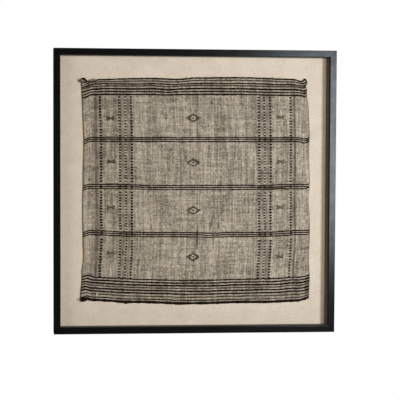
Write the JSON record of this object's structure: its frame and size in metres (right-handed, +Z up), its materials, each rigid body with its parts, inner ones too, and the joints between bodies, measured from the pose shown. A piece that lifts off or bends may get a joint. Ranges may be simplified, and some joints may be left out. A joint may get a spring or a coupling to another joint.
{
  "type": "woven textile in a shadow box frame",
  "caption": "Hand-woven square cloth with dark stripes, dotted columns and diamonds, mounted on linen in a deep black frame.",
  "frame": {"origin": "middle of the back of the backing board, in the plane that lies against the wall", "axes": "X across the frame to the right, +Z up, +Y into the wall, so the front faces -Y"},
  "size_m": [1.016, 0.076, 1.016],
  "materials": {
    "black_rail": "satin black lacquer",
    "stained_spacer": "dark brown stain",
    "backing_board": "bare plywood",
    "linen": "plain beige weave",
    "woven_cloth": "coarse hand-spun weave"
  },
  "bodies": {
    "root": {"rail_top": "black_rail", "rail_right": "black_rail", "rail_bottom": "black_rail", "rail_left": "black_rail", "spacer_top": "stained_spacer", "spacer_right": "stained_spacer", "spacer_bottom": "stained_spacer", "spacer_left": "stained_spacer", "backing_board": "backing_board", "linen_mat": "linen", "woven_cloth": "woven_cloth"}
  },
  "joints": []
}
